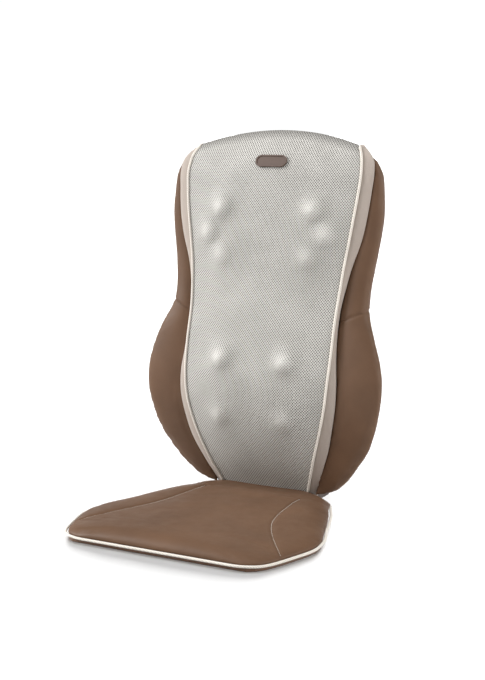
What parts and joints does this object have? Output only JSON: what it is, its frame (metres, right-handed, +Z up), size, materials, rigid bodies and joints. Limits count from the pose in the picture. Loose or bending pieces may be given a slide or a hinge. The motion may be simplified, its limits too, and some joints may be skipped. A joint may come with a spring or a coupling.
{
  "type": "shiatsu massage seat cushion",
  "caption": "Backrest massager with a mesh front over kneading heads that travel on rails, padded side wings, and a padded seat that folds up.",
  "frame": {"origin": "middle of the base, on the surface the cushion stands on", "axes": "+Z up, +Y to the rear, +X to the sitter's left, which is square to the plane of symmetry"},
  "size_m": [0.4622, 0.4848, 0.649],
  "materials": {
    "mesh": "light grey spacer mesh",
    "foam": "open-cell foam",
    "piping": "cream cord piping",
    "trim": "beige woven trim",
    "brown": "smooth brown soft-touch cover",
    "badge": "brown plate with a darker rim",
    "shell": "textured dark brown moulding",
    "frame": "black moulding",
    "steel": "ground steel",
    "zinc": "zinc plated steel",
    "bronze": "sintered bronze",
    "gear": "natural acetal",
    "node": "moulded massage node",
    "webbing": "brown elastic webbing",
    "black": "black acetal",
    "board": "circuit board",
    "motor": "plated motor can",
    "base": "dark brown underside cloth"
  },
  "bodies": {
    "backrest": {"mesh_panel": "mesh", "foam_liner": "foam", "left_panel_piping": "piping", "right_panel_piping": "piping", "left_trim_band": "trim", "right_trim_band": "trim", "left_shoulder_wing": "brown", "right_shoulder_wing": "brown", "left_lumbar_wing": "brown", "right_lumbar_wing": "brown", "badge": "badge", "front_frame": "frame", "rear_housing": "shell", "housing_screws": "zinc", "upper_strap": "webbing", "lower_strap": "webbing", "strap_buckles": "black", "power_inlet": "black", "control_board": "board", "hinge_rod": "steel", "hinge_brackets": "zinc", "left_guide_rail": "steel", "right_guide_rail": "steel", "upper_rail_bracket": "zinc", "lower_rail_bracket": "zinc", "rack": "gear"},
    "seat": {"seat_cover": "brown", "seat_foam": "foam", "seat_base": "base", "seat_piping": "piping", "hinge_sleeves": "base"},
    "lower_carriage": {"lower_carriage_frame": "frame", "lower_rail_bushes": "bronze", "lower_massage_motor": "motor", "lower_travel_motor": "motor"},
    "lower_worm": {"lower_worm_shaft": "steel"},
    "lower_left_head": {"lower_left_rotor": "gear", "lower_left_worm_wheel": "gear", "lower_left_nodes": "node"},
    "lower_right_head": {"lower_right_rotor": "gear", "lower_right_worm_wheel": "gear", "lower_right_nodes": "node"},
    "lower_travel_pinion": {"lower_pinion": "gear"},
    "upper_carriage": {"upper_carriage_frame": "frame", "upper_rail_bushes": "bronze", "upper_massage_motor": "motor", "upper_travel_motor": "motor"},
    "upper_worm": {"upper_worm_shaft": "steel"},
    "upper_left_head": {"upper_left_rotor": "gear", "upper_left_worm_wheel": "gear", "upper_left_nodes": "node"},
    "upper_right_head": {"upper_right_rotor": "gear", "upper_right_worm_wheel": "gear", "upper_right_nodes": "node"},
    "upper_travel_pinion": {"upper_pinion": "gear"}
  },
  "joints": [
    {"name": "seat_fold", "type": "hinge", "parent": "backrest", "child": "seat", "pos_m": [0, 0.113, 0.013], "axis": [-1, 0, 0], "range_deg": [0, 60]},
    {"name": "lower_travel", "type": "slide", "parent": "backrest", "child": "lower_carriage", "axis": [0, 0.165, 0.9863], "range_m": [-0.02, 0.05]},
    {"name": "lower_left_spin", "type": "hinge", "parent": "lower_carriage", "child": "lower_left_head", "pos_m": [0.064, 0.12924, 0.20809], "axis": [0, 0.9863, -0.165], "continuous": true},
    {"name": "lower_right_spin", "type": "hinge", "parent": "lower_carriage", "child": "lower_right_head", "pos_m": [-0.064, 0.12924, 0.20809], "axis": [0, 0.9863, -0.165], "continuous": true},
    {"name": "lower_worm_spin", "type": "hinge", "parent": "lower_carriage", "child": "lower_worm", "pos_m": [0, 0.14183, 0.17429], "axis": [1, 0, 0], "continuous": true},
    {"name": "lower_pinion_spin", "type": "hinge", "parent": "lower_carriage", "child": "lower_travel_pinion", "pos_m": [0, 0.17628, 0.24685], "axis": [0, 0.9863, -0.165], "range_deg": [-96.49, 239.73]},
    {"name": "upper_travel", "type": "slide", "parent": "backrest", "child": "upper_carriage", "axis": [0, 0.165, 0.9863], "range_m": [-0.035, 0.035]},
    {"name": "upper_left_spin", "type": "hinge", "parent": "upper_carriage", "child": "upper_left_head", "pos_m": [0.085, 0.17397, 0.47537], "axis": [0, 0.9863, -0.165], "continuous": true},
    {"name": "upper_right_spin", "type": "hinge", "parent": "upper_carriage", "child": "upper_right_head", "pos_m": [-0.085, 0.17397, 0.47537], "axis": [0, 0.9863, -0.165], "continuous": true},
    {"name": "upper_worm_spin", "type": "hinge", "parent": "upper_carriage", "child": "upper_worm", "pos_m": [0, 0.18656, 0.44158], "axis": [1, 0, 0], "continuous": true},
    {"name": "upper_pinion_spin", "type": "hinge", "parent": "upper_carriage", "child": "upper_travel_pinion", "pos_m": [0, 0.22101, 0.51414], "axis": [0, 0.9863, -0.165], "range_deg": [-168.11, 168.11]}
  ],
  "couplings": [
    {"joint": "lower_right_spin", "follows": "lower_left_spin", "ratio": -1},
    {"joint": "lower_worm_spin", "follows": "lower_left_spin", "ratio": 40},
    {"joint": "lower_pinion_spin", "follows": "lower_travel", "rad_per_m": 83.333},
    {"joint": "upper_right_spin", "follows": "upper_left_spin", "ratio": -1},
    {"joint": "upper_worm_spin", "follows": "upper_left_spin", "ratio": 40},
    {"joint": "upper_pinion_spin", "follows": "upper_travel", "rad_per_m": 83.333}
  ]
}
